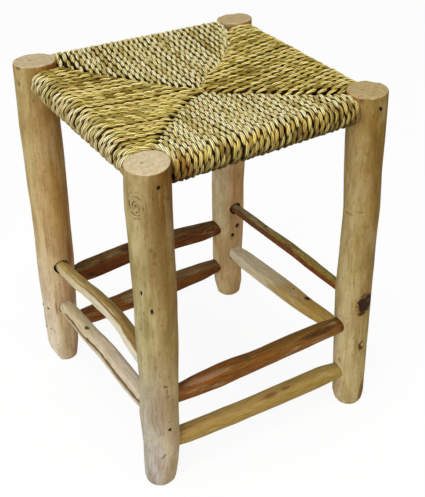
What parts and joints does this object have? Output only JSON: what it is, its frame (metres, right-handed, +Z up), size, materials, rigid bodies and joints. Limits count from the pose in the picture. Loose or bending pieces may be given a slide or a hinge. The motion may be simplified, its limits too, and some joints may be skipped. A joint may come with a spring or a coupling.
{
  "type": "moroccan kursi stool",
  "caption": "Low square stool with round pole legs, staggered whittled stretchers and a seat of natural cord wound over hidden rails into mitred panels.",
  "frame": {"origin": "floor level, under the middle of the stool", "axes": "+Z up, +X to the right along the front seat rail, +Y to the back"},
  "size_m": [0.3473, 0.3439, 0.461],
  "materials": {
    "leg_wood": "debarked pole, bare, matt",
    "pale_stretcher_wood": "whittled, bare, matt",
    "honey_stretcher_wood": "whittled, bare, matt",
    "dark_stretcher_wood": "peeled branch with dark inner bark, matt",
    "seat_rail_wood": "peeled rod, bare, matt",
    "seat_cord": "two-ply twisted leaf cord, dry, matt",
    "nail_iron": "dark, weathered"
  },
  "bodies": {
    "root": {"leg_front_left": "leg_wood", "leg_front_right": "leg_wood", "leg_back_left": "leg_wood", "leg_back_right": "leg_wood", "stretcher_left_upper": "pale_stretcher_wood", "stretcher_left_lower": "pale_stretcher_wood", "stretcher_right_lower": "pale_stretcher_wood", "stretcher_right_upper": "honey_stretcher_wood", "stretcher_front_lower": "honey_stretcher_wood", "stretcher_back_upper": "dark_stretcher_wood", "stretcher_back_lower": "dark_stretcher_wood", "stretcher_front_upper": "dark_stretcher_wood", "seat_rail_front": "seat_rail_wood", "seat_rail_back": "seat_rail_wood", "seat_rail_left": "seat_rail_wood", "seat_rail_right": "seat_rail_wood", "woven_seat": "seat_cord", "nail_seat_rail_left": "nail_iron", "nail_seat_rail_right": "nail_iron", "nail_left_lower_front": "nail_iron", "nail_left_lower_back": "nail_iron", "nail_back_lower": "nail_iron", "nail_back_upper_high": "nail_iron", "nail_back_upper_low": "nail_iron"}
  },
  "joints": []
}
